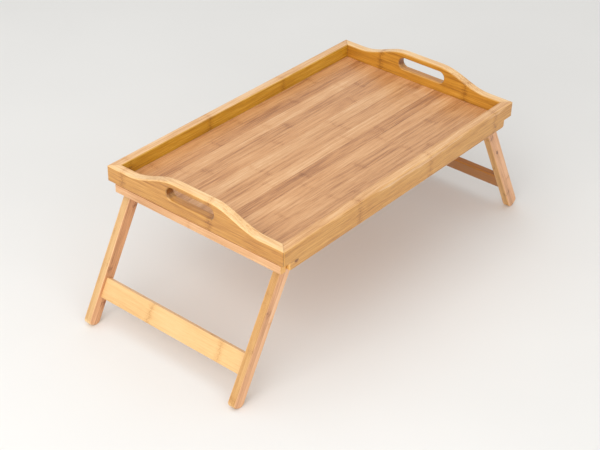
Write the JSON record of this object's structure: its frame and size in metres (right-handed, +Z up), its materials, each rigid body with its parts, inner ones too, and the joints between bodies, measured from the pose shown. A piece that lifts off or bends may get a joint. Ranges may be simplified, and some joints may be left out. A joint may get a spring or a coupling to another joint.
{
  "type": "folding tray table",
  "caption": "Rectangular bamboo tray with raised rim, arched end handles with slots, and splayed folding leg frames that swing flat underneath.",
  "frame": {"origin": "on the surface the feet stand on, under the middle of the tray, legs unfolded", "axes": "+X along the tray's long side towards the right handle, +Y across the tray, +Z up"},
  "size_m": [0.642, 0.3, 0.2295],
  "materials": {
    "rail_bamboo": "satin lacquered side-pressed bamboo, honey tan with fine lengthwise grain",
    "end_bamboo": "satin lacquered bamboo, honey gold, cream on the rounded top edge",
    "floor_bamboo": "satin lacquered bamboo panel in narrow strips of varied pinkish tan",
    "batten_bamboo": "satin lacquered pale bamboo",
    "leg_bamboo": "satin lacquered bamboo, grain along the leg",
    "crossbar_bamboo": "satin lacquered pale bamboo with faint node marks",
    "joinery_bamboo": "plain unfinished bamboo",
    "screw_steel": "zinc plated steel",
    "washer_nylon": "white nylon"
  },
  "bodies": {
    "tray": {"rail_front": "rail_bamboo", "rail_back": "rail_bamboo", "end_board_left": "end_bamboo", "end_board_right": "end_bamboo", "floor_panel": "floor_bamboo", "stop_batten_left": "batten_bamboo", "stop_batten_right": "batten_bamboo", "batten_screw_left_1": "screw_steel", "batten_screw_left_2": "screw_steel", "batten_screw_left_3": "screw_steel", "batten_screw_right_1": "screw_steel", "batten_screw_right_2": "screw_steel", "batten_screw_right_3": "screw_steel", "mitre_key_left_front": "joinery_bamboo", "mitre_key_left_back": "joinery_bamboo", "mitre_key_right_front": "joinery_bamboo", "mitre_key_right_back": "joinery_bamboo", "pivot_screw_left_front": "screw_steel", "pivot_screw_left_back": "screw_steel", "pivot_screw_right_front": "screw_steel", "pivot_screw_right_back": "screw_steel", "pivot_washer_left_front": "washer_nylon", "pivot_washer_left_back": "washer_nylon", "pivot_washer_right_front": "washer_nylon", "pivot_washer_right_back": "washer_nylon"},
    "leg_frame_left": {"leg_left_front": "leg_bamboo", "leg_left_back": "leg_bamboo", "crossbar_left": "crossbar_bamboo", "bar_dowel_left_front_1": "joinery_bamboo", "bar_dowel_left_front_2": "joinery_bamboo", "bar_dowel_left_back_1": "joinery_bamboo", "bar_dowel_left_back_2": "joinery_bamboo"},
    "leg_frame_right": {"leg_right_front": "leg_bamboo", "leg_right_back": "leg_bamboo", "crossbar_right": "crossbar_bamboo", "bar_dowel_right_front_1": "joinery_bamboo", "bar_dowel_right_front_2": "joinery_bamboo", "bar_dowel_right_back_1": "joinery_bamboo", "bar_dowel_right_back_2": "joinery_bamboo"}
  },
  "joints": [
    {"name": "fold_left", "type": "hinge", "parent": "tray", "child": "leg_frame_left", "pos_m": [-0.213, 0, 0.1815], "axis": [0, -1, 0], "range_deg": [0, 118]},
    {"name": "fold_right", "type": "hinge", "parent": "tray", "child": "leg_frame_right", "pos_m": [0.213, 0, 0.1815], "axis": [0, 1, 0], "range_deg": [0, 118]}
  ]
}
